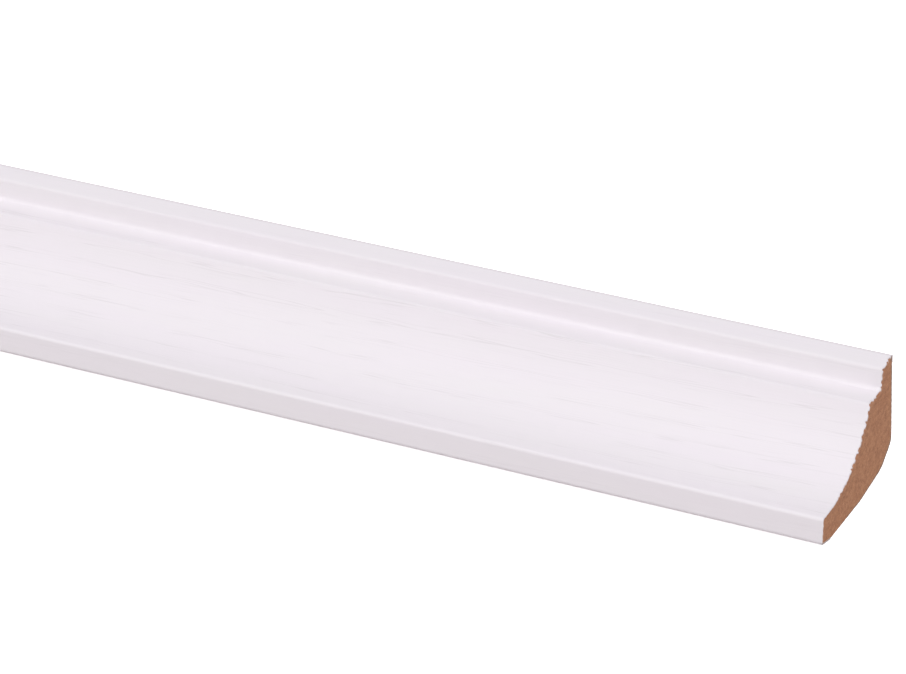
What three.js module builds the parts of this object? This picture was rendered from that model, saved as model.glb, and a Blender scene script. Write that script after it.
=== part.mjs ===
// A short length of crown moulding: a moulded fibreboard core, wrapped on its show faces in a thin decor foil.
// The section lies in the YZ plane: Z rises from the wall face, Y runs from the lower band to the ceiling face.
// The length runs along X, and both ends are sawn square.
import * as THREE from 'three';

// Overall sizes, in mm
const LENGTH = 240;
const DROP = 40;
const PROJECTION = 28.5;

// The foil, the glue line under it, and how far it laps on to the two hidden faces
const FOIL = 0.3;
const GLUE_LINE = 0.05;
const CEILING_LAP_END = 26.2;
const WALL_LAP_END = 5;

// The hidden back: the flat wall face, a shallow relief, a chamfer, then the flat ceiling face
const WALL_FACE_START = 5.15;
const WALL_FACE_END = 21.5;
const RELIEF_ANGLE = 7.6;
const CHAMFER_START = 34.1;
const CHAMFER_ANGLE = 36;
const RELIEF_ROUND = 8;
const CHAMFER_ROUND = 3;

// The top band beside the ceiling
const TOP_ROUND = 0.75;
const TOP_BAND_ANGLE = 10;
const RISER_TOP_Y = 34.1;
const BAND_ARRIS = 0.9;

// The riser below the band leans forward to the flat tread
const RISER_FOOT_Y = 33.15;
const FOOT_ROUND = 1.1;
const TREAD_Z = 22.65;

// The cove, an arc that ends level with the wall face
const COVE_RADIUS = 25.75;
const COVE_CENTRE_Y = 3.5;
const COVE_FLOOR = 7.7;
const COVE_STEPS = 40;
const COVE_ARRIS = 0.5;

// The lower band, which leans back from its foot, and its underside, which slopes down to the wall face
const BAND_LEAN = 7.7;
const BAND_FOOT_Y = -0.13;
const BAND_FOOT_Z = 1.15;
const NOSE_ARRIS = 0.9;
const NOSE_ROUND = 1.2;

// The finest turn between neighbouring points of a round
const ROUND_STEP = 8;

const radians = THREE.MathUtils.degToRad;

// The origin sits in the middle of the bare part of the wall face
const ORIGIN_Y = (WALL_LAP_END + WALL_FACE_END) / 2;

// A corner of the section with the radius it is rounded to
function corner(y, z, radius = 0) {
  return { at: new THREE.Vector2(y, z), radius };
}

// The points of one corner: the corner itself, or an arc that touches the lines on both sides
function roundedCorner(before, here, after) {
  if (here.radius === 0) return [here.at];
  const arriving = here.at.clone().sub(before.at).normalize();
  const leaving = after.at.clone().sub(here.at).normalize();
  const turn = Math.atan2(arriving.cross(leaving), arriving.dot(leaving));
  const side = Math.sign(turn);
  const reach = here.radius * Math.tan(Math.abs(turn) / 2);
  const start = here.at.clone().addScaledVector(arriving, -reach);
  const inward = new THREE.Vector2(-arriving.y, arriving.x).multiplyScalar(side * here.radius);
  const centre = start.clone().add(inward);
  const steps = Math.max(2, Math.ceil(Math.abs(turn) / radians(ROUND_STEP)));
  const points = [];
  for (let i = 0; i <= steps; i += 1) {
    points.push(start.clone().rotateAround(centre, (turn * i) / steps));
  }
  return points;
}

// The chain of points through a list of corners, open at both ends
function roundedChain(corners) {
  const points = [];
  corners.forEach((here, i) => {
    const isEnd = i === 0 || i === corners.length - 1;
    const found = isEnd ? [here.at] : roundedCorner(corners[i - 1], here, corners[i + 1]);
    points.push(...found);
  });
  return points;
}

// The chain moved sideways to its left by a distance, mitred at each point
function offsetChain(points, distance) {
  return points.map((here, i) => {
    const before = points[Math.max(i - 1, 0)];
    const after = points[Math.min(i + 1, points.length - 1)];
    const arriving = i === 0 ? after.clone().sub(here) : here.clone().sub(before);
    const leaving = i === points.length - 1 ? arriving.clone() : after.clone().sub(here);
    const normalA = new THREE.Vector2(-arriving.y, arriving.x).normalize();
    const normalB = new THREE.Vector2(-leaving.y, leaving.x).normalize();
    const reach = distance / (1 + normalA.dot(normalB));
    return here.clone().addScaledVector(normalA.add(normalB), reach);
  });
}

// The hidden back, from the wall face round to the ceiling face
function backCorners(wallStart, ceilingEnd) {
  const reliefRise = (CHAMFER_START - WALL_FACE_END) * Math.tan(radians(RELIEF_ANGLE));
  const chamferRise = (DROP - CHAMFER_START) * Math.tan(radians(CHAMFER_ANGLE));
  return [
    corner(wallStart, 0),
    corner(WALL_FACE_END, 0),
    corner(CHAMFER_START, reliefRise, RELIEF_ROUND),
    corner(DROP, reliefRise + chamferRise, CHAMFER_ROUND),
    corner(DROP, ceilingEnd),
  ];
}

// The show faces, from the lap on the ceiling face over the steps and the cove to the lap on the wall face
function showCorners() {
  const bandSlope = Math.tan(radians(TOP_BAND_ANGLE));
  const roundRise = TOP_ROUND * (1 / Math.cos(radians(TOP_BAND_ANGLE)) + bandSlope);
  const topCorner = PROJECTION - TOP_ROUND + roundRise;
  const coveCentreZ = COVE_FLOOR + COVE_RADIUS;
  const coveStart = Math.asin((TREAD_Z - coveCentreZ) / COVE_RADIUS);
  const coveEnd = -Math.PI / 2;
  const cove = [];
  for (let i = 0; i <= COVE_STEPS; i += 1) {
    const angle = coveStart + ((coveEnd - coveStart) * i) / COVE_STEPS;
    const y = COVE_CENTRE_Y + COVE_RADIUS * Math.cos(angle);
    const z = coveCentreZ + COVE_RADIUS * Math.sin(angle);
    cove.push(corner(y, z, i === 0 ? COVE_ARRIS : 0));
  }
  const bandTopY = BAND_FOOT_Y + (COVE_FLOOR - BAND_FOOT_Z) * Math.tan(radians(BAND_LEAN));
  return [
    corner(DROP, CEILING_LAP_END),
    corner(DROP, topCorner, TOP_ROUND),
    corner(RISER_TOP_Y, topCorner - (DROP - RISER_TOP_Y) * bandSlope, BAND_ARRIS),
    corner(RISER_FOOT_Y, TREAD_Z, FOOT_ROUND),
    ...cove,
    corner(bandTopY, COVE_FLOOR, NOSE_ARRIS),
    corner(BAND_FOOT_Y, BAND_FOOT_Z, NOSE_ROUND),
    corner(WALL_LAP_END, 0),
  ];
}

// A closed section carried along the length, turned so that it runs along X
function lengthOf(name, points, material) {
  const section = points.map((point) => new THREE.Vector2(point.x - ORIGIN_Y, point.y));
  const geometry = new THREE.ExtrudeGeometry(new THREE.Shape(section), {
    depth: LENGTH,
    bevelEnabled: false,
  });
  const alongY = new THREE.Vector3(0, 1, 0);
  const alongZ = new THREE.Vector3(0, 0, 1);
  const alongX = new THREE.Vector3(1, 0, 0);
  geometry.applyMatrix4(new THREE.Matrix4().makeBasis(alongY, alongZ, alongX));
  geometry.translate(-LENGTH / 2, 0, 0);
  const mesh = new THREE.Mesh(geometry, material);
  mesh.name = name;
  return mesh;
}

const show = roundedChain(showCorners());
const foilInside = offsetChain(show, FOIL);
const coreFront = offsetChain(show, FOIL + GLUE_LINE);

// The core stops just short of the two cut edges of the foil
coreFront[0].y = CEILING_LAP_END - GLUE_LINE;
coreFront[coreFront.length - 1].x = WALL_FACE_START;
const back = roundedChain(backCorners(WALL_FACE_START, CEILING_LAP_END - GLUE_LINE));

// Raw medium-density fibreboard, dull brown
const fibreboard = new THREE.MeshStandardMaterial({ color: '#a0765c', roughness: 0.9, metalness: 0 });

// White decor foil with a printed ash grain, satin
const foil = new THREE.MeshStandardMaterial({ color: '#f0eaef', roughness: 0.45, metalness: 0 });

const moulding = new THREE.Group();
moulding.name = 'crown_moulding';
moulding.add(lengthOf('mdf_core', [...back, ...coreFront], fibreboard));
moulding.add(lengthOf('decor_foil', [...show, ...foilInside.toReversed()], foil));

export default moulding;
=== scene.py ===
"""The looks of a foil-wrapped crown moulding length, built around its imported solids.

Section sizes are in millimetres, with Y from the lower band to the ceiling face and Z out from the wall face.
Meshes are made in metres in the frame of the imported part, where X runs along the length.
"""

import logging
import math
from dataclasses import dataclass, field
from enum import Enum
from typing import Any

import bpy
import numpy as np
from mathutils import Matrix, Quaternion, Vector


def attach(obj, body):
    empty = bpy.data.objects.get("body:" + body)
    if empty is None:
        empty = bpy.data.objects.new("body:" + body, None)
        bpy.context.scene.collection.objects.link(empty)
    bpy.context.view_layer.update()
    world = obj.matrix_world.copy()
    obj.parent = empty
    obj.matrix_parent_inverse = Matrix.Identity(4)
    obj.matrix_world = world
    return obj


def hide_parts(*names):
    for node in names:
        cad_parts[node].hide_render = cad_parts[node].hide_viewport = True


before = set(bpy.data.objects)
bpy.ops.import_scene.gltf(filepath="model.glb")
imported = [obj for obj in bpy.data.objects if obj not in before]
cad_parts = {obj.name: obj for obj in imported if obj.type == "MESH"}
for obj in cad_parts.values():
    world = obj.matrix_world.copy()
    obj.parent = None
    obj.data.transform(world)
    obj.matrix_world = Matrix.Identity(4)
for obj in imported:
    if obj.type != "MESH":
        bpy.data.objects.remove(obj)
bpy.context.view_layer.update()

LOG = logging.getLogger("crown_moulding")
MM = 0.001
BODY = "root"
IMAGE_WIDTH_PX = 906

Array = np.ndarray


class End(Enum):
    """The two sawn ends, each with the row of noise that its tears are drawn from."""

    LEFT = 11.5
    RIGHT = 3.5


# Numbers and noise


def smooth_step(low: float, high: float, values: Array) -> Array:
    """The cubic ramp from 0 at low to 1 at high.

    Args:
        low: where the ramp starts.
        high: where the ramp ends.
        values: the numbers to ramp.

    Returns:
        The ramped numbers, from 0 to 1.
    """
    t = np.clip((values - low) / (high - low), 0.0, 1.0)
    return t * t * (3.0 - 2.0 * t)


@dataclass(frozen=True)
class Noise:
    """Repeatable value noise: random numbers on a square lattice, joined by cubic ramps."""

    seed: int
    size: int = 512

    def table(self) -> Array:
        """The random lattice of this seed."""
        return np.random.default_rng(self.seed).random((self.size, self.size))

    def at(self, u: Array, v: Array) -> Array:
        """The noise at (u, v): the four lattice numbers around the point, blended by cubic ramps.

        Args:
            u: first coordinate, in cells.
            v: second coordinate, in cells.

        Returns:
            Numbers from 0 to 1.
        """
        u, v = np.broadcast_arrays(np.asarray(u, float), np.asarray(v, float))
        table = self.table()
        i, j = np.floor(u).astype(int), np.floor(v).astype(int)
        a, b = smooth_step(0.0, 1.0, u - i), smooth_step(0.0, 1.0, v - j)
        i0, i1 = i % self.size, (i + 1) % self.size
        j0, j1 = j % self.size, (j + 1) % self.size
        low = table[i0, j0] * (1.0 - a) + table[i1, j0] * a
        high = table[i0, j1] * (1.0 - a) + table[i1, j1] * a
        return low * (1.0 - b) + high * b


# The section


@dataclass(frozen=True)
class Corner:
    """A corner of the section, in mm, and the radius that rounds it."""

    y: float
    z: float
    radius: float = 0.0

    @property
    def at(self) -> Array:
        """The corner as a point."""
        return np.array([self.y, self.z])


def rounded_corner(before: Array, here: Corner, after: Array, step_deg: float) -> Array:
    """The arc that touches both lines of a corner: its start turned about its centre by equal steps.

    Args:
        before: the corner before.
        here: the corner to round.
        after: the corner after.
        step_deg: the largest turn from point to point.

    Returns:
        The arc's points, or the corner alone where it has no radius.
    """
    if here.radius == 0.0:
        return here.at[None, :]
    arriving = (here.at - before) / np.linalg.norm(here.at - before)
    leaving = (after - here.at) / np.linalg.norm(after - here.at)
    cross = arriving[0] * leaving[1] - arriving[1] * leaving[0]
    turn = math.atan2(cross, float(arriving @ leaving))
    start = here.at - arriving * here.radius * math.tan(abs(turn) / 2.0)
    inward = np.array([-arriving[1], arriving[0]]) * math.copysign(here.radius, turn)
    steps = max(2, math.ceil(abs(math.degrees(turn)) / step_deg))
    angle = turn * np.linspace(0.0, 1.0, steps + 1)
    spoke = -inward
    turned_y = spoke[0] * np.cos(angle) - spoke[1] * np.sin(angle)
    turned_z = spoke[0] * np.sin(angle) + spoke[1] * np.cos(angle)
    return start + inward + np.column_stack([turned_y, turned_z])


def chain_through(corners: list[Corner], step_deg: float, spacing: float) -> Array:
    """The open chain through rounded corners, with its straight stretches divided.

    Args:
        corners: the corners in order, of which the first and last stay sharp.
        step_deg: the largest turn from point to point on a round.
        spacing: the longest stretch between points, in mm.

    Returns:
        The chain's points.
    """
    inner = [
        rounded_corner(corners[i - 1].at, corners[i], corners[i + 1].at, step_deg)
        for i in range(1, len(corners) - 1)
    ]
    points = np.vstack([corners[0].at[None, :], *inner, corners[-1].at[None, :]])
    return divided(points, spacing)


def divided(points: Array, spacing: float) -> Array:
    """A chain whose long stretches are cut into equal parts: start plus a share of the stretch.

    Args:
        points: the chain.
        spacing: the longest stretch left.

    Returns:
        The chain with the new points in place.
    """
    stretch = np.diff(points, axis=0)
    parts = np.maximum(1, np.ceil(np.linalg.norm(stretch, axis=1) / spacing)).astype(int)
    which = np.repeat(np.arange(len(parts)), parts)
    first = np.repeat(np.cumsum(parts) - parts, parts)
    share = (np.arange(parts.sum()) - first) / parts[which]
    return np.vstack([points[which] + stretch[which] * share[:, None], points[-1:]])


def run_length(points: Array) -> Array:
    """The distance run along a chain at each of its points."""
    return np.concatenate([[0.0], np.cumsum(np.linalg.norm(np.diff(points, axis=0), axis=1))])


def resampled(points: Array, shares: Array) -> Array:
    """A chain's points at given shares of its whole run.

    Args:
        points: the chain.
        shares: numbers from 0 at its start to 1 at its end.

    Returns:
        The points.
    """
    run = run_length(points)
    at = shares * run[-1]
    return np.column_stack([np.interp(at, run, points[:, k]) for k in range(2)])


def left_normals(points: Array) -> Array:
    """The mitred left-hand normal at each point.

    It is the sum of the normals of the stretches on both sides, over one plus their dot product.

    Args:
        points: the chain.

    Returns:
        The normals, long enough to keep the offset stretches parallel.
    """
    stretch = np.diff(points, axis=0)
    unit = stretch / np.linalg.norm(stretch, axis=1, keepdims=True)
    normal = np.column_stack([-unit[:, 1], unit[:, 0]])
    before = np.vstack([normal[:1], normal])
    after = np.vstack([normal, normal[-1:]])
    dot = np.sum(before * after, axis=1, keepdims=True)
    return (before + after) / (1.0 + dot)


@dataclass(frozen=True)
class MouldingSection:
    """The section of the moulding, in mm: flat wall and ceiling faces, steps, a cove and a lower band."""

    length: float = 240.0
    drop: float = 40.0
    projection: float = 28.5
    foil: float = 0.3
    glue_line: float = 0.05
    ceiling_lap_end: float = 26.2
    wall_lap_end: float = 5.0
    wall_face_start: float = 5.15
    wall_face_end: float = 21.5
    relief_deg: float = 7.6
    chamfer_start: float = 34.1
    chamfer_deg: float = 36.0
    relief_round: float = 8.0
    chamfer_round: float = 3.0
    top_round: float = 0.75
    top_band_deg: float = 10.0
    riser_top_y: float = 34.1
    band_arris: float = 0.9
    riser_foot_y: float = 33.15
    foot_round: float = 1.1
    tread_z: float = 22.65
    cove_radius: float = 25.75
    cove_centre_y: float = 3.5
    cove_floor: float = 7.7
    cove_arris: float = 0.5
    band_lean_deg: float = 7.7
    band_foot_y: float = -0.13
    band_foot_z: float = 1.15
    nose_arris: float = 0.9
    nose_round: float = 1.2
    cove_points: int = 41
    round_step_deg: float = 7.5

    @property
    def origin_y(self) -> float:
        """The Y of the part's origin, in the middle of the bare wall face."""
        return (self.wall_lap_end + self.wall_face_end) / 2.0

    def show_chain(self, spacing: float) -> Array:
        """The outside of the foil, from its ceiling lap over the steps and the cove to its wall lap.

        Args:
            spacing: the longest stretch between points.

        Returns:
            The chain's points, with the board on its left.
        """
        slope = math.tan(math.radians(self.top_band_deg))
        rise = self.top_round * (1.0 / math.cos(math.radians(self.top_band_deg)) + slope)
        top = self.projection - self.top_round + rise
        centre_z = self.cove_floor + self.cove_radius
        start = math.asin((self.tread_z - centre_z) / self.cove_radius)
        angles = np.linspace(start, -math.pi / 2.0, self.cove_points)
        cove_y = self.cove_centre_y + self.cove_radius * np.cos(angles)
        cove_z = centre_z + self.cove_radius * np.sin(angles)
        cove = [Corner(float(y), float(z)) for y, z in zip(cove_y[1:], cove_z[1:])]
        band_height = self.cove_floor - self.band_foot_z
        band_top = self.band_foot_y + band_height * math.tan(math.radians(self.band_lean_deg))
        corners = [
            Corner(self.drop, self.ceiling_lap_end),
            Corner(self.drop, top, self.top_round),
            Corner(self.riser_top_y, top - (self.drop - self.riser_top_y) * slope, self.band_arris),
            Corner(self.riser_foot_y, self.tread_z, self.foot_round),
            Corner(float(cove_y[0]), float(cove_z[0]), self.cove_arris),
            *cove,
            Corner(band_top, self.cove_floor, self.nose_arris),
            Corner(self.band_foot_y, self.band_foot_z, self.nose_round),
            Corner(self.wall_lap_end, 0.0),
        ]
        return chain_through(corners, self.round_step_deg, spacing)

    def back_chain(self, spacing: float) -> Array:
        """The hidden back of the board, from the ceiling lap down round the chamfer and along the wall face.

        Args:
            spacing: the longest stretch between points.

        Returns:
            The chain's points, with the board on its right.
        """
        rise = (self.chamfer_start - self.wall_face_end) * math.tan(math.radians(self.relief_deg))
        corner_z = rise + (self.drop - self.chamfer_start) * math.tan(math.radians(self.chamfer_deg))
        corners = [
            Corner(self.drop, self.ceiling_lap_end - self.glue_line),
            Corner(self.drop, corner_z, self.chamfer_round),
            Corner(self.chamfer_start, rise, self.relief_round),
            Corner(self.wall_face_end, 0.0),
            Corner(self.wall_face_start, 0.0),
        ]
        return chain_through(corners, self.round_step_deg, spacing)

    def placed(self, x: Array, yz: Array) -> Array:
        """Points of the section carried along the length, in metres in the part's frame.

        Args:
            x: distance along the length, in mm.
            yz: points of the section, in mm, with the same leading shape as x.

        Returns:
            The points, with X, Y and Z last.
        """
        return np.stack([x, yz[..., 0] - self.origin_y, yz[..., 1]], axis=-1) * MM


# Meshes


def grid_quads(rows: int, columns: int, first: int = 0, turned: bool = False) -> Array:
    """The four-sided faces of a grid of points numbered row by row.

    Args:
        rows: points down the grid.
        columns: points across the grid.
        first: the number of the grid's first point.
        turned: whether the faces look the other way.

    Returns:
        Point numbers, four to a face.
    """
    number = first + np.arange(rows * columns).reshape(rows, columns)
    a, b = number[:-1, :-1].ravel(), number[1:, :-1].ravel()
    c, d = number[1:, 1:].ravel(), number[:-1, 1:].ravel()
    return np.column_stack([a, d, c, b] if turned else [a, b, c, d])


def strip_quads(first: Array, second: Array, turned: bool = False) -> Array:
    """The four-sided faces between two rows of point numbers of the same length."""
    a, b, c, d = first[:-1], first[1:], second[1:], second[:-1]
    return np.column_stack([a, d, c, b] if turned else [a, b, c, d])


def mesh_piece(name: str, points: Array, faces: list[Array], sharp_deg: float) -> bpy.types.Object:
    """A smooth-shaded mesh object at the origin, with its edges kept sharp past a given turn.

    Args:
        name: the piece's name.
        points: its points, in metres.
        faces: tables of point numbers, one face a row.
        sharp_deg: the turn past which an edge is sharp.

    Returns:
        The object, linked to the scene.
    """
    mesh = bpy.data.meshes.new(name)
    loops = np.concatenate([table.ravel() for table in faces]).astype(np.int32)
    sizes = np.concatenate([np.full(len(table), table.shape[1]) for table in faces])
    starts = (np.cumsum(sizes) - sizes).astype(np.int32)
    mesh.vertices.add(len(points))
    mesh.vertices.foreach_set("co", np.ascontiguousarray(points, np.float32).ravel())
    mesh.loops.add(len(loops))
    mesh.loops.foreach_set("vertex_index", loops)
    mesh.polygons.add(len(starts))
    mesh.polygons.foreach_set("loop_start", starts)
    mesh.polygons.foreach_set("use_smooth", np.ones(len(starts), bool))
    mesh.update(calc_edges=True)
    mesh.set_sharp_from_angle(angle=math.radians(sharp_deg))
    piece = bpy.data.objects.new(name, mesh)
    bpy.context.scene.collection.objects.link(piece)
    return piece


def point_values(piece: bpy.types.Object, name: str, values: Array) -> None:
    """Stores one number a point on a piece, for its material to read."""
    layer = piece.data.attributes.new(name, "FLOAT", "POINT")
    layer.data.foreach_set("value", np.ascontiguousarray(values, np.float32).ravel())


def surface_map(piece: bpy.types.Object, name: str, values: Array) -> None:
    """Stores two surface coordinates a point on a piece, as a UV map in metres.

    Args:
        piece: the piece.
        name: the map's name.
        values: two coordinates for each point.
    """
    loops = np.empty(len(piece.data.loops), np.int32)
    piece.data.loops.foreach_get("vertex_index", loops)
    layer = piece.data.uv_layers.new(name=name)
    layer.data.foreach_set("uv", np.ascontiguousarray(values[loops], np.float32).ravel())


# Finishes


def linear(hex_colour: str) -> tuple[float, float, float, float]:
    """An sRGB hex colour as linear light.

    Args:
        hex_colour: a hash and six hex digits.

    Returns:
        Red, green and blue, with full alpha.
    """
    parts = [int(hex_colour[i : i + 2], 16) / 255.0 for i in (1, 3, 5)]
    red, green, blue = (c / 12.92 if c <= 0.04045 else ((c + 0.055) / 1.055) ** 2.4 for c in parts)
    return red, green, blue, 1.0


def add_node(
    tree: bpy.types.NodeTree,
    kind: str,
    settings: dict[str, Any] | None = None,
    values: dict[Any, Any] | None = None,
    links: dict[Any, Any] | None = None,
) -> bpy.types.Node:
    """Adds a node, sets its properties and sockets, and links its inputs.

    Args:
        tree: the node tree.
        kind: the node's type name.
        settings: properties of the node.
        values: input sockets, by name or number, with their values.
        links: input sockets, by name or number, with the output that feeds each.

    Returns:
        The node.
    """
    node = tree.nodes.new(kind)
    for key, value in (settings or {}).items():
        setattr(node, key, value)
    for key, value in (values or {}).items():
        node.inputs[key].default_value = value
    for key, output in (links or {}).items():
        tree.links.new(output, node.inputs[key])
    return node


def new_material(name: str) -> tuple[bpy.types.Material, bpy.types.NodeTree]:
    """An empty node material.

    Args:
        name: the material's name.

    Returns:
        The material and its node tree.
    """
    material = bpy.data.materials.new(name)
    material.use_nodes = True
    material.node_tree.nodes.clear()
    return material, material.node_tree


@dataclass(frozen=True)
class AshDecorFoil:
    """Polymer decor foil with a printed and embossed white ash grain.

    It gives the eye an even, faintly rosy white with a satin gloss, broken by thin pore lines that gather in
    bands along the length, with painted shade along the top back edge and where the saw cut the laps.
    """

    name: str = "white_ash_decor_foil"
    ground: str = "#ECE6EB"
    cloud: str = "#EBE7E9"
    pore: str = "#E1DCDF"
    # colour of the painted shade at the top back edge and at the laps by the sawn ends
    painted_edge_shade: str = "#8C7B70"
    roughness: float = 0.42
    pore_roughness: float = 0.58
    ior: float = 1.5
    cloud_length_mm: float = 60.0
    cloud_width_mm: float = 6.0
    dash_length_mm: float = 26.0
    dash_spacing_mm: float = 0.55
    dash_level: float = 0.54
    dash_line: float = 0.1
    fibre_length_mm: float = 9.0
    fibre_width_mm: float = 0.45
    fibre_height_mm: float = 0.012
    fibre_tone: float = 0.06

    def material(self) -> bpy.types.Material:
        """Builds the material.

        Returns:
            The node material, which reads the grain map and the pore and painted edge shade values of the
            foil.
        """
        material, tree = new_material(self.name)
        pore = add_node(tree, "ShaderNodeAttribute", {"attribute_name": "pore"})
        along = add_node(tree, "ShaderNodeUVMap", {"uv_map": "grain"})
        cloud_size = (1.0 / (self.cloud_length_mm * MM), 1.0 / (self.cloud_width_mm * MM), 1.0)
        cloud_at = add_node(
            tree, "ShaderNodeMapping", values={"Scale": cloud_size}, links={"Vector": along.outputs["UV"]}
        )
        cloud = add_node(
            tree,
            "ShaderNodeTexNoise",
            {"noise_dimensions": "2D"},
            {"Scale": 1.0, "Detail": 2.0},
            {"Vector": cloud_at.outputs["Vector"]},
        )
        # Print fibres are nearer 0.1 mm wide, drawn wider here so that they show
        fibre_size = (1.0 / (self.fibre_length_mm * MM), 1.0 / (self.fibre_width_mm * MM), 1.0)
        fibre_at = add_node(
            tree, "ShaderNodeMapping", values={"Scale": fibre_size}, links={"Vector": along.outputs["UV"]}
        )
        fibre = add_node(
            tree,
            "ShaderNodeTexNoise",
            {"noise_dimensions": "2D"},
            {"Scale": 1.0, "Detail": 3.0},
            {"Vector": fibre_at.outputs["Vector"]},
        )
        ground = add_node(
            tree,
            "ShaderNodeMix",
            {"data_type": "RGBA"},
            {6: linear(self.ground), 7: linear(self.cloud)},
            {0: cloud.outputs["Fac"]},
        )
        # Pores are lines where stretched noise crosses one level, drawn wider than 0.1 mm so that they show
        dash_size = (1.0 / (self.dash_length_mm * MM), 1.0 / (self.dash_spacing_mm * MM), 1.0)
        dash_at = add_node(
            tree, "ShaderNodeMapping", values={"Scale": dash_size}, links={"Vector": along.outputs["UV"]}
        )
        dash = add_node(
            tree,
            "ShaderNodeTexNoise",
            {"noise_dimensions": "2D"},
            {"Scale": 1.0, "Detail": 0.0},
            {"Vector": dash_at.outputs["Vector"]},
        )
        off_level = add_node(
            tree, "ShaderNodeMath", {"operation": "SUBTRACT"}, {1: self.dash_level}, {0: dash.outputs["Fac"]}
        )
        from_line = add_node(
            tree, "ShaderNodeMath", {"operation": "ABSOLUTE"}, links={0: off_level.outputs["Value"]}
        )
        dash_shown = add_node(
            tree,
            "ShaderNodeMapRange",
            {"interpolation_type": "SMOOTHSTEP"},
            {"From Min": 0.0, "From Max": self.dash_line, "To Min": 1.0, "To Max": 0.0},
            {"Value": from_line.outputs["Value"]},
        )
        fibre_tone = add_node(
            tree,
            "ShaderNodeMapRange",
            values={"From Min": 0.35, "From Max": 0.65, "To Min": 0.0, "To Max": self.fibre_tone},
            links={"Value": fibre.outputs["Fac"]},
        )
        pore_tone = add_node(
            tree,
            "ShaderNodeMath",
            {"operation": "MULTIPLY_ADD", "use_clamp": True},
            links={
                0: pore.outputs["Fac"],
                1: dash_shown.outputs["Result"],
                2: fibre_tone.outputs["Result"],
            },
        )
        grained = add_node(
            tree,
            "ShaderNodeMix",
            {"data_type": "RGBA"},
            {7: linear(self.pore)},
            {0: pore_tone.outputs["Value"], 6: ground.outputs[2]},
        )
        # Painted shade: a darker grey-brown mixed into the foil colour at its top back edge and at the cut
        # laps
        painted_edge_shade = add_node(tree, "ShaderNodeAttribute", {"attribute_name": "painted_edge_shade"})
        colour = add_node(
            tree,
            "ShaderNodeMix",
            {"data_type": "RGBA"},
            {7: linear(self.painted_edge_shade)},
            {0: painted_edge_shade.outputs["Fac"], 6: grained.outputs[2]},
        )
        dullness = add_node(
            tree,
            "ShaderNodeMapRange",
            values={"To Min": self.roughness, "To Max": self.pore_roughness},
            links={"Value": pore_tone.outputs["Value"]},
        )
        emboss = add_node(
            tree,
            "ShaderNodeBump",
            values={"Strength": 0.5, "Distance": self.fibre_height_mm * MM},
            links={"Height": fibre.outputs["Fac"]},
        )
        shader = add_node(
            tree,
            "ShaderNodeBsdfPrincipled",
            values={"IOR": self.ior},
            links={
                "Base Color": colour.outputs[2],
                "Roughness": dullness.outputs["Result"],
                "Normal": emboss.outputs["Normal"],
            },
        )
        add_node(tree, "ShaderNodeOutputMaterial", links={"Surface": shader.outputs["BSDF"]})
        return material


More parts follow.
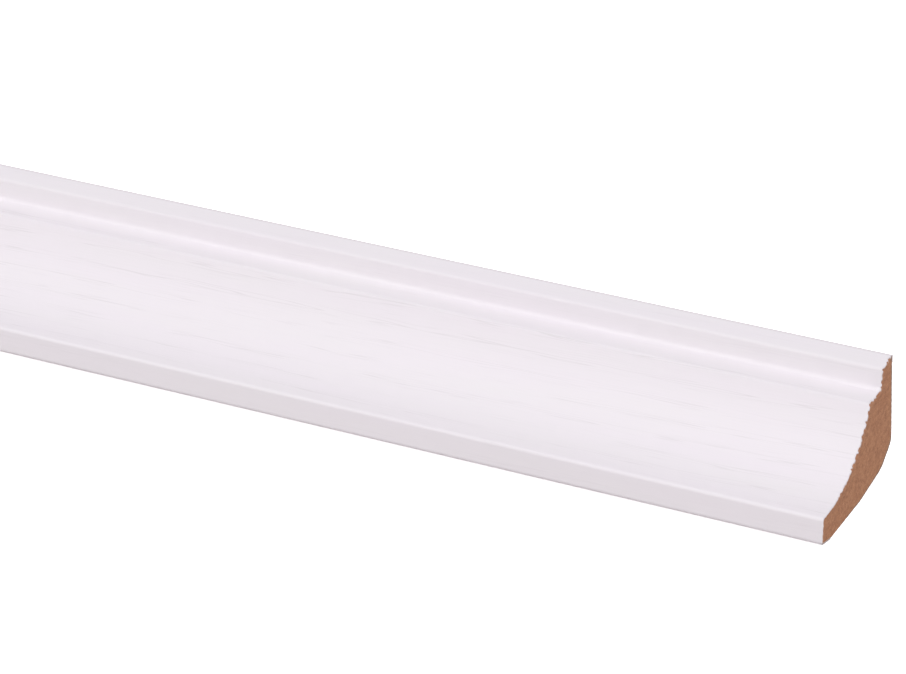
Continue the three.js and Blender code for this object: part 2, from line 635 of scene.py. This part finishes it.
@dataclass(frozen=True)
class RawFibreboard:
    """Medium-density fibreboard, planed on the back and sawn on the ends.

    It gives the eye a dull warm brown, mottled by pressed fibre bundles, with a little fur on the sawn ends.
    """

    name: str = "raw_medium_density_fibreboard"
    dark: str = "#926246"
    ground: str = "#B47E5B"
    pale: str = "#C99570"
    # colour of the painted shade on the board: along its back edge, at its top back corner and on its front
    # under the tears
    painted_board_shade: str = "#77695F"
    fuzz: str = "#E9D9CF"
    roughness: float = 0.88
    ior: float = 1.45
    flatness: float = 1.3
    bundle_mm: float = 0.9
    fibre_mm: float = 0.34
    fibre_height_mm: float = 0.06

    def material(self) -> bpy.types.Material:
        """Builds the material.

        Returns:
            The node material, which reads object coordinates and the board's sawn, painted shade and fuzz
            values.
        """
        material, tree = new_material(self.name)
        sawn = add_node(tree, "ShaderNodeAttribute", {"attribute_name": "sawn"})
        place = add_node(tree, "ShaderNodeTexCoord")
        # Pressed fibres lie flat in the board, so their marks are longer along and across than through it
        flat = add_node(
            tree,
            "ShaderNodeMapping",
            values={"Scale": (1.0 / self.flatness, 1.0 / self.flatness, 1.0)},
            links={"Vector": place.outputs["Object"]},
        )
        bundle = add_node(
            tree,
            "ShaderNodeTexNoise",
            values={"Scale": 1.0 / (self.bundle_mm * MM), "Detail": 2.0},
            links={"Vector": flat.outputs["Vector"]},
        )
        fibre = add_node(
            tree,
            "ShaderNodeTexNoise",
            values={"Scale": 1.0 / (self.fibre_mm * MM), "Detail": 4.0, "Roughness": 0.65},
            links={"Vector": flat.outputs["Vector"]},
        )
        mottle = add_node(
            tree,
            "ShaderNodeMix",
            {"data_type": "FLOAT"},
            {0: 0.55},
            {2: bundle.outputs["Fac"], 3: fibre.outputs["Fac"]},
        )
        tone = add_node(tree, "ShaderNodeValToRGB", links={"Fac": mottle.outputs[0]})
        ramp = tone.color_ramp
        ramp.elements[0].position, ramp.elements[0].color = 0.3, linear(self.dark)
        ramp.elements[1].position, ramp.elements[1].color = 0.7, linear(self.pale)
        middle = ramp.elements.new(0.5)
        middle.color = linear(self.ground)
        # Painted shade: a darker grey-brown mixed into the board colour
        painted_board_shade = add_node(tree, "ShaderNodeAttribute", {"attribute_name": "painted_board_shade"})
        with_painted_shade = add_node(
            tree,
            "ShaderNodeMix",
            {"data_type": "RGBA"},
            {7: linear(self.painted_board_shade)},
            {0: painted_board_shade.outputs["Fac"], 6: tone.outputs["Color"]},
        )
        fuzz = add_node(tree, "ShaderNodeAttribute", {"attribute_name": "fuzz"})
        colour = add_node(
            tree,
            "ShaderNodeMix",
            {"data_type": "RGBA"},
            {7: linear(self.fuzz)},
            {0: fuzz.outputs["Fac"], 6: with_painted_shade.outputs[2]},
        )
        fur = add_node(
            tree,
            "ShaderNodeMapRange",
            values={"To Min": 0.3, "To Max": 0.9},
            links={"Value": sawn.outputs["Fac"]},
        )
        rough = add_node(
            tree,
            "ShaderNodeBump",
            values={"Distance": self.fibre_height_mm * MM},
            links={"Height": fibre.outputs["Fac"], "Strength": fur.outputs["Result"]},
        )
        shader = add_node(
            tree,
            "ShaderNodeBsdfPrincipled",
            values={"IOR": self.ior, "Roughness": self.roughness},
            links={"Base Color": colour.outputs[2], "Normal": rough.outputs["Normal"]},
        )
        add_node(tree, "ShaderNodeOutputMaterial", links={"Surface": shader.outputs["BSDF"]})
        return material


@dataclass(frozen=True)
class StudioPaper:
    """Matt white paper on a light table, which gives the eye a plain pale ground with hardly any shadow."""

    name: str = "matt_white_paper"
    tone: str = "#FAFAFA"
    roughness: float = 0.8
    backlight: float = 0.75

    def material(self) -> bpy.types.Material:
        """Builds the material.

        Returns:
            The node material.
        """
        material, tree = new_material(self.name)
        shader = add_node(
            tree,
            "ShaderNodeBsdfPrincipled",
            values={
                "Base Color": linear(self.tone),
                "Roughness": self.roughness,
                "Specular IOR Level": 0.0,
                "Emission Color": linear(self.tone),
                "Emission Strength": self.backlight,
            },
        )
        add_node(tree, "ShaderNodeOutputMaterial", links={"Surface": shader.outputs["BSDF"]})
        return material


# Pieces


@dataclass(frozen=True)
class AshGrain:
    """Where the pores of the printed ash grain gather, in mm: rings a few mm apart, broken into clusters."""

    ring_spacing: float = 4.5
    first_ring: float = 1.9
    slope: float = -0.018
    sway: float = 0.55
    sway_length: float = 70.0
    cluster_length: float = 11.0
    cluster_width: float = 0.55
    noise: Noise = field(default_factory=lambda: Noise(41))

    def flow(self, x: Array, run: Array) -> Array:
        """The run across the face, bent so that it stays the same along a fibre.

        It is the run less a slope along the length, plus a slow sway and a small wobble.

        Args:
            x: distance along the length.
            run: distance run across the face.

        Returns:
            The bent run.
        """
        drift = self.sway * (self.noise.at(x / self.sway_length, run / 18.0) - 0.5) * 2.0
        wobble = 0.3 * (self.noise.at(x / 9.0 + 70.0, run / 6.0) - 0.5)
        return run - self.slope * x + drift + wobble

    def clusters(self, x: Array, run: Array) -> Array:
        """How thickly the pores lie at each place of the foil.

        The distance of the bent run from the nearest ring gives a bell-shaped band, noise along the length
        breaks each band into clusters, and more noise adds a few stray pores between the rings.

        Args:
            x: distance along the length.
            run: distance run across the face.

        Returns:
            Numbers from 0, plain ground, to 1, the middle of a cluster.
        """
        ring_at = (self.flow(x, run) - self.first_ring) / self.ring_spacing
        ring = np.round(ring_at)
        away = (ring_at - ring) * self.ring_spacing
        row = ring * 7.0 + 0.5
        present = smooth_step(0.22, 0.6, self.noise.at(x / self.cluster_length + row * 5.3, row))
        band = np.exp(-(away**2) / (2.0 * self.cluster_width**2))
        stray = smooth_step(0.72, 0.9, self.noise.at(x / self.cluster_length + 31.0, run / 1.1))
        return np.maximum(present * band, 0.35 * stray)


@dataclass
class DecorFoilWrap:
    """The decor foil over the show faces, embossed along its pores and torn back where the saw cut it."""

    section: MouldingSection
    finish: AshDecorFoil
    grain: AshGrain = field(default_factory=AshGrain)
    across_mm: float = 0.11
    along: int = 124
    end_steps_mm: tuple[float, ...] = (0.0, 0.2, 0.6)
    flat_strength: float = 0.35
    pore_depth: float = 0.006
    peel_depth: float = 0.002
    tear_depth: float = 0.6
    tear_group: float = 2.04
    tear_nick: float = 0.4675
    tear_inside: float = 0.85
    lower_calm: float = 0.75
    flush: float = 0.12
    ceiling_lap: float = 1.7
    wall_lap: float = 5.0
    arris_painted_shade: float = 0.13
    cut_painted_shade: float = 0.6
    cut_painted_shade_width: float = 0.6
    tear_noise: Noise = field(default_factory=lambda: Noise(7))
    peel_noise: Noise = field(default_factory=lambda: Noise(19))

    def torn(self, run: Array, end: End) -> Array:
        """How far the foil is torn back from a sawn end, in mm.

        Nicks in groups of varying depth run over the show faces, the deepest at the steps and the shallowest
        on the lower band, and the laps are cut level with the board.

        Args:
            run: distance run across the face.
            end: which end.

        Returns:
            The distance at each point.
        """
        row = end.value
        group = smooth_step(0.2, 0.85, self.tear_noise.at(run / self.tear_group, row))
        nick = smooth_step(0.25, 0.75, self.tear_noise.at(run / self.tear_nick + 90.0, row))
        calm = 1.0 - self.lower_calm * smooth_step(0.45, 0.8, run / run[-1])
        torn = self.tear_depth * calm * (0.2 * group + 0.8 * nick * (0.65 + 0.35 * group))
        lap = self.lapped(run)
        return torn * (1.0 - lap) + self.flush * lap

    def lapped(self, run: Array) -> Array:
        """How far a place lies on one of the two laps.

        Args:
            run: distance run across the face.

        Returns:
            Numbers from 0 on the show faces to 1 on a lap.
        """
        ceiling = 1.0 - smooth_step(self.ceiling_lap - 0.5, self.ceiling_lap + 0.2, run)
        wall = smooth_step(run[-1] - self.wall_lap - 0.7, run[-1] - self.wall_lap, run)
        return np.maximum(ceiling, wall)

    def grain_strength(self, chain: Array) -> Array:
        """How strongly the grain is printed along the chain: in full on the cove, faintly on the flats.

        Args:
            chain: points of the show faces.

        Returns:
            Numbers up to 1.
        """
        y, cove_end = chain[:, 0], self.section.riser_foot_y - 5.0
        on_cove = smooth_step(0.5, 2.5, y) * (1.0 - smooth_step(cove_end, cove_end + 2.0, y))
        return self.flat_strength + (1.0 - self.flat_strength) * on_cove

    def stations(self) -> Array:
        """Where the foil has points along its length.

        Returns:
            Shares of the length from 0 to 1, evenly spaced but for short steps at both ends.
        """
        steps = np.array(self.end_steps_mm) / self.section.length
        even = np.linspace(0.0, 1.0, self.along - 2 * len(steps) + 2)[1:-1]
        return np.concatenate([steps, even, 1.0 - steps[::-1]])

    def build(self) -> bpy.types.Object:
        """Carries the show chain along the length and closes it with the inner face and four edges.

        A point of the outer face is the chain at its run and the station along the length, moved in along its
        normal by the pore depth and by a slow peel. The inner face is the chain moved in by the foil's
        thickness.

        Returns:
            The foil, with its grain map and its pore and painted edge shade values.
        """
        section = self.section
        chain = section.show_chain(self.across_mm)
        normal = left_normals(chain)
        run = run_length(chain)
        half = section.length / 2.0
        torn_left, torn_right = self.torn(run, End.LEFT), self.torn(run, End.RIGHT)
        low, high = -half + torn_left, half - torn_right
        x = low[:, None] + (high - low)[:, None] * self.stations()[None, :]
        run_at = np.broadcast_to(run[:, None], x.shape)
        pore = self.grain.clusters(x, run_at) * self.grain_strength(chain)[:, None]
        peel = self.peel_noise.at(x / 14.0, run[:, None] / 5.0)
        hidden = (chain[:, 1] <= 1e-6) | (chain[:, 0] >= section.drop - 1e-6)
        sunk = np.where(hidden[:, None], 0.0, self.pore_depth * pore + self.peel_depth * peel)
        outer = chain[:, None, :] + normal[:, None, :] * sunk[..., None]
        inner = chain + normal * section.foil
        inner_low, inner_high = self.tear_inside * torn_left - half, half - self.tear_inside * torn_right
        inner_x = np.column_stack([inner_low, inner_high])
        rows, columns = x.shape
        points = np.vstack(
            [
                section.placed(x, outer).reshape(-1, 3),
                section.placed(inner_x, np.repeat(inner[:, None, :], 2, axis=1)).reshape(-1, 3),
            ]
        )
        number = np.arange(rows * columns).reshape(rows, columns)
        inside = rows * columns + np.arange(rows * 2).reshape(rows, 2)
        ceiling_edge = np.concatenate([number[0], inside[0, ::-1]])
        wall_edge = np.concatenate([number[-1, ::-1], inside[-1]])
        faces = [
            grid_quads(rows, columns),
            grid_quads(rows, 2, rows * columns, turned=True),
            strip_quads(number[:, -1], inside[:, 1]),
            strip_quads(number[:, 0], inside[:, 0], turned=True),
            ceiling_edge[None, :],
            wall_edge[None, :],
        ]
        piece = mesh_piece("decor_foil_wrap", points, faces, 40.0)
        point_values(piece, "pore", np.concatenate([pore.ravel(), np.zeros(rows * 2)]))
        from_end = np.minimum(x - low[:, None], high[:, None] - x)
        # Painted shade: a faint darker line on the foil just past the ceiling lap, where the top back edge
        # turns away from the light
        arris_shade = self.arris_painted_shade * (1.0 - smooth_step(0.9, 1.9, run - self.ceiling_lap))
        # Painted shade: the laps are darkened next to the sawn ends, where their cut edges sit in shade
        near_cut = 1.0 - smooth_step(0.0, self.cut_painted_shade_width, from_end)
        cut = self.cut_painted_shade * self.lapped(run)[:, None] * near_cut
        painted_edge_shade = np.maximum(cut, arris_shade[:, None])
        point_values(piece, "painted_edge_shade", np.concatenate([painted_edge_shade.ravel(), np.repeat(painted_edge_shade[:, 0], 2)]))
        flow = np.concatenate([self.grain.flow(x, run_at).ravel(), np.repeat(run, 2)])
        surface_map(piece, "grain", np.column_stack([points[:, 0], flow * MM]))
        return piece

    def dress(self, piece: bpy.types.Object) -> None:
        """Gives the foil its finish and its place in the part.

        Args:
            piece: the foil.
        """
        piece.data.materials.append(self.finish.material())
        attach(piece, BODY)
        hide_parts("decor_foil")


@dataclass
class FibreboardCore:
    """The board itself: a straight run of the section between two sawn ends with worn edges."""

    section: MouldingSection
    finish: RawFibreboard
    foil: DecorFoilWrap
    across_mm: float = 0.3
    deep: int = 64
    set_back: float = 0.12
    worn_edge: float = 0.22
    front_edge: float = 0.03
    saw_pitch: float = 1.4
    saw_radius: float = 150.0
    saw_depth: float = 0.02
    fur_depth: float = 0.05
    fur_mm: float = 0.6
    fuzz_width: float = 0.75
    fuzz_strength: float = 0.9
    gap_painted_shade: float = 0.4
    back_edge_painted_shade: float = 0.8
    corner_painted_shade: float = 0.65
    fur_noise: Noise = field(default_factory=lambda: Noise(23))

    def patch(self, front: Array, back: Array, top: Array, foot: Array) -> Array:
        """A grid that fills the section between its four edges.

        Each point is the blend of the two long edges plus the blend of the two short edges, less the blend of
        the four corners.

        Args:
            front: the edge behind the foil.
            back: the hidden back, with as many points.
            top: the short edge at the ceiling lap, from front to back.
            foot: the short edge at the wall lap, from front to back.

        Returns:
            The grid, with its rows along the front and its columns from front to back.
        """
        t = np.linspace(0.0, 1.0, len(front))[:, None, None]
        s = np.linspace(0.0, 1.0, len(top))[None, :, None]
        long_way = front[:, None, :] * (1.0 - s) + back[:, None, :] * s
        short_way = top[None, :, :] * (1.0 - t) + foot[None, :, :] * t
        top_corners = front[0] * (1.0 - s) + back[0] * s
        foot_corners = front[-1] * (1.0 - s) + back[-1] * s
        return long_way + short_way - top_corners * (1.0 - t) - foot_corners * t

    def outline(self) -> tuple[Array, Array, Array, Array]:
        """The four edges of the board's section: front, back, and the two short edges at the laps.

        Returns:
            The front and back edges with the same number of points, then the ceiling and wall edges.
        """
        section = self.section
        show = section.show_chain(self.across_mm)
        skin = section.foil + section.glue_line
        whole = show + left_normals(show) * skin
        front = whole[self.covered(show)]
        run = run_length(front)
        back = resampled(section.back_chain(self.across_mm), run / run[-1])
        shares = np.linspace(0.0, 1.0, self.deep)
        ceiling_step = np.array([front[0], [front[0][0], back[0][1]], back[0]])
        wall_step = np.array([front[-1], [back[-1][0], front[-1][1]], back[-1]])
        return front, back, resampled(ceiling_step, shares), resampled(wall_step, shares)

    def covered(self, show: Array) -> slice:
        """The stretch of the show chain that the board's front edge follows.

        Args:
            show: points of the show faces.

        Returns:
            The places in the chain between the two laps.
        """
        on_ceiling = show[:, 0] >= self.section.drop - 1e-6
        on_wall = show[:, 1] <= 1e-6
        return slice(np.flatnonzero(on_ceiling)[-1], np.flatnonzero(on_wall)[0] + 1)

    def sawn_relief(self, yz: Array) -> Array:
        """How deep the sawn face lies: blade arcs a pitch apart, plus fur where fibres lift.

        Args:
            yz: points of the section.

        Returns:
            Depth in mm at each point.
        """
        blade = np.hypot(yz[..., 0] - 10.0, yz[..., 1] - self.saw_radius)
        arcs = 0.5 + 0.5 * np.sin(2.0 * math.pi * blade / self.saw_pitch)
        fur = self.fur_noise.at(yz[..., 0] / self.fur_mm, yz[..., 1] / self.fur_mm)
        return self.saw_depth * arcs + self.fur_depth * fur

    def with_painted_shade(self, face: Array) -> Array:
        """How much painted shade the sawn face gets: a darker line along the back edge and a darker patch at
        the top back corner.

        Args:
            face: the grid of the sawn face.

        Returns:
            Numbers from 0, unshaded, to 1.
        """
        from_back = np.linalg.norm(face - face[:, -1:], axis=-1)
        from_corner = np.linalg.norm(face - face[0, 0], axis=-1)
        # Painted shade: darker along the back edge of the sawn face and at its top back corner
        line = self.back_edge_painted_shade * (1.0 - smooth_step(0.25, 0.95, from_back))
        corner_shade = self.corner_painted_shade * (1.0 - smooth_step(0.3, 1.5, from_corner))
        return np.maximum(line, corner_shade)

    def fuzzed(self, face: Array, end: End) -> Array:
        """How much pale fuzz of the foil clings to a sawn face, in a ragged line that is open at the tears.

        Args:
            face: the grid of the sawn face.
            end: which end.

        Returns:
            Numbers from 0, none, to 1.
        """
        show = self.section.show_chain(self.across_mm)
        torn = self.foil.torn(run_length(show), end)[self.covered(show)]
        whole = 1.0 - smooth_step(0.12, 0.35, torn)
        from_front = np.linalg.norm(face - face[:, :1], axis=-1)
        ragged = self.fur_noise.at(run_length(face[:, 0]) / 0.55 + 40.0, 9.5)
        width = self.fuzz_width * (0.35 + 1.1 * ragged)
        faded = 1.0 - smooth_step(0.0, 1.0, from_front / width[:, None])
        return self.fuzz_strength * whole[:, None] * faded

    def build(self) -> bpy.types.Object:
        """Joins two sawn ends, their worn edges and the straight run between them into one closed board.

        Returns:
            The board, with its sawn, painted shade and fuzz values.
        """
        section = self.section
        front, back, ceiling_step, wall_step = self.outline()
        full = self.patch(front, back, ceiling_step, wall_step)
        worn_front = front + left_normals(front) * self.front_edge
        worn_back = back - left_normals(back) * self.worn_edge
        shares = np.linspace(0.0, 1.0, self.deep)[:, None]
        top_shift = (worn_front[0] - front[0]) * (1.0 - shares) + (worn_back[0] - back[0]) * shares
        foot_shift = (worn_front[-1] - front[-1]) * (1.0 - shares) + (worn_back[-1] - back[-1]) * shares
        face = self.patch(worn_front, worn_back, ceiling_step + top_shift, wall_step + foot_shift)
        rows, columns = face.shape[:2]
        count = rows * columns
        grid = np.arange(count).reshape(rows, columns)
        rim = np.concatenate([grid[:, 0], grid[-1, 1:], grid[-2::-1, -1], grid[0, -2:0:-1]])
        rim_yz = full.reshape(-1, 2)[rim]
        half = section.length / 2.0 - self.set_back
        sunk = self.sawn_relief(face)
        rim_x = np.full(len(rim), half - self.worn_edge)
        points = np.vstack(
            [
                section.placed(-half + sunk, face).reshape(-1, 3),
                section.placed(-rim_x, rim_yz),
                section.placed(rim_x, rim_yz),
                section.placed(half - sunk, face).reshape(-1, 3),
            ]
        )
        closed = np.append(rim, rim[0])
        left_rim = count + np.append(np.arange(len(rim)), 0)
        right_rim = left_rim + len(rim)
        right_first = count + 2 * len(rim)
        faces = [
            grid_quads(rows, columns, 0, turned=True),
            strip_quads(closed, left_rim),
            strip_quads(left_rim, right_rim),
            strip_quads(right_rim, right_first + closed),
            grid_quads(rows, columns, right_first),
        ]
        piece = mesh_piece("fibreboard_core", points, faces, 30.0)
        sawn = np.concatenate([np.ones(count), np.zeros(2 * len(rim)), np.ones(count)])
        point_values(piece, "sawn", sawn)
        bare = np.zeros(len(rim))
        # Painted shade: the board's front under the foil is darkened so that the gaps at the tears look
        # shaded
        gap_shade = np.where(np.arange(len(rim)) < rows, self.gap_painted_shade, 0.0)
        painted_board_shade = self.with_painted_shade(face).ravel()
        left_fuzz, right_fuzz = (self.fuzzed(face, end).ravel() for end in (End.LEFT, End.RIGHT))
        point_values(piece, "painted_board_shade", np.concatenate([painted_board_shade, gap_shade, gap_shade, painted_board_shade]))
        point_values(piece, "fuzz", np.concatenate([left_fuzz, bare, bare, right_fuzz]))
        return piece

    def dress(self, piece: bpy.types.Object) -> None:
        """Gives the board its finish and its place in the part.

        Args:
            piece: the board.
        """
        piece.data.materials.append(self.finish.material())
        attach(piece, BODY)
        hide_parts("mdf_core")


# Studio


@dataclass
class Studio:
    """A plain pale floor, a soft light and the camera."""

    floor_size: float = 8.0
    floor_drop: float = 0.00005
    sweep_start: float = 2.0
    sweep_end: float = 3.8
    sweep_rise: float = 1.1
    sky_glow: float = 0.42
    sky_tint: str = "#FBF9FF"
    floor_glow: float = 0.48
    floor_tint: str = "#FFF5F6"
    key_strength: float = 2.2
    key_spread_deg: float = 40.0
    key_azimuth_deg: float = 34.0
    key_elevation_deg: float = 54.5
    camera_azimuth_deg: float = 28.899
    camera_elevation_deg: float = 29.7735
    camera_roll_deg: float = -2.7954
    camera_distance: float = 0.97669
    camera_target: tuple[float, float, float] = (0.02332, 0.0, 0.02489)
    focal_px: float = 4295.17
    sensor_mm: float = 36.0
    paper: StudioPaper = field(default_factory=StudioPaper)

    def outward(self, azimuth_deg: float, elevation_deg: float) -> Vector:
        """The direction from the part at an azimuth, counted from the front, and an elevation."""
        a, e = math.radians(azimuth_deg), math.radians(elevation_deg)
        return Vector((math.sin(a) * math.cos(e), -math.cos(a) * math.cos(e), math.sin(e)))

    def lay_floor(self) -> bpy.types.Object:
        """A square of paper just under the part, swept up all round by a cubic ramp of the distance out.

        Returns:
            The floor.
        """
        side = np.linspace(-self.floor_size / 2.0, self.floor_size / 2.0, 81)
        x, y = np.meshgrid(side, side, indexing="ij")
        z = self.sweep_rise * smooth_step(self.sweep_start, self.sweep_end, np.hypot(x, y)) - self.floor_drop
        points = np.column_stack([x.ravel(), y.ravel(), z.ravel()])
        floor = mesh_piece("studio_floor", points, [grid_quads(len(side), len(side))], 30.0)
        floor.data.materials.append(self.paper.material())
        floor.visible_diffuse = False
        floor.visible_shadow = False
        return floor

    def hang_lights(self) -> None:
        """One large soft lamp in front and above, and a glow all round that is warmer off the table."""
        scene = bpy.context.scene
        scene.view_settings.view_transform = "Standard"
        world = bpy.data.worlds.new("studio_glow")
        world.use_nodes = True
        tree = world.node_tree
        tree.nodes.clear()
        place = add_node(tree, "ShaderNodeTexCoord")
        height = add_node(tree, "ShaderNodeSeparateXYZ", links={"Vector": place.outputs["Generated"]})
        above = add_node(
            tree,
            "ShaderNodeMapRange",
            values={"From Min": -0.15, "From Max": 0.15},
            links={"Value": height.outputs["Z"]},
        )
        table = [self.floor_glow * part for part in linear(self.floor_tint)[:3]]
        sky = [self.sky_glow * part for part in linear(self.sky_tint)[:3]]
        glow = add_node(
            tree,
            "ShaderNodeMix",
            {"data_type": "RGBA"},
            {6: (*table, 1.0), 7: (*sky, 1.0)},
            {0: above.outputs["Result"]},
        )
        shader = add_node(tree, "ShaderNodeBackground", links={"Color": glow.outputs[2]})
        add_node(tree, "ShaderNodeOutputWorld", links={"Surface": shader.outputs["Background"]})
        scene.world = world
        lamp = bpy.data.lights.new("key_softbox", "SUN")
        lamp.angle = math.radians(self.key_spread_deg)
        lamp.energy = self.key_strength
        outward = self.outward(self.key_azimuth_deg, self.key_elevation_deg)
        key = bpy.data.objects.new("key_softbox", lamp)
        key.location = outward
        key.rotation_euler = outward.to_track_quat("Z", "Y").to_euler()
        scene.collection.objects.link(key)

    def set_camera(self) -> None:
        """The camera, aimed at its target and rolled a little about its own axis."""
        scene = bpy.context.scene
        lens = bpy.data.cameras.new("camera")
        lens.sensor_fit = "HORIZONTAL"
        lens.sensor_width = self.sensor_mm
        lens.lens = self.focal_px * self.sensor_mm / IMAGE_WIDTH_PX
        outward = self.outward(self.camera_azimuth_deg, self.camera_elevation_deg)
        aim = outward.to_track_quat("Z", "Y")
        roll = Quaternion((0.0, 0.0, 1.0), math.radians(self.camera_roll_deg))
        camera = bpy.data.objects.new("camera", lens)
        camera.location = Vector(self.camera_target) + outward * self.camera_distance
        camera.rotation_euler = (aim @ roll).to_euler()
        scene.collection.objects.link(camera)
        scene.camera = camera


def main() -> None:
    """Builds the studio and the two pieces, and reports each piece."""
    logging.basicConfig(level=logging.INFO, format="%(message)s")
    studio = Studio()
    studio.set_camera()
    studio.hang_lights()
    studio.lay_floor()
    section = MouldingSection()
    foil = DecorFoilWrap(section, AshDecorFoil())
    for maker in (FibreboardCore(section, RawFibreboard(), foil), foil):
        piece = maker.build()
        maker.dress(piece)
        LOG.info("%s: %d points, %d faces", piece.name, len(piece.data.vertices), len(piece.data.polygons))


if __name__ == "__main__":
    main()
